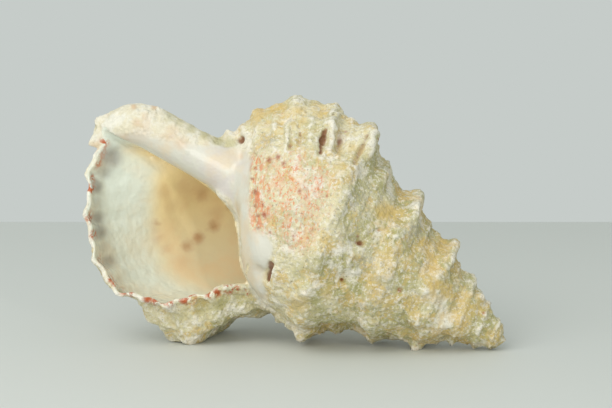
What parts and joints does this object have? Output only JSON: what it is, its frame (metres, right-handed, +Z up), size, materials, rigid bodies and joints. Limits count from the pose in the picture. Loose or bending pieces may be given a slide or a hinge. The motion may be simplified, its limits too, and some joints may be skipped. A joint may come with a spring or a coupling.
{
  "type": "conch shell",
  "caption": "Large worn knobbly sea-snail shell lying on its lip and spire, wide open mouth facing front, chalky cream and ochre outside, glossy pale inside.",
  "frame": {"origin": "centre of the footprint box, at the table's height", "axes": "+Z up; +X towards the pointed spire, -X towards the canal; the open mouth faces -Y"},
  "size_m": [0.1708, 0.0869, 0.1006],
  "materials": {
    "worn_shell": "chalky, rough and pitted outside, glossy porcelain-like in the mouth"
  },
  "bodies": {
    "root": {"shell": "worn_shell"}
  },
  "joints": []
}
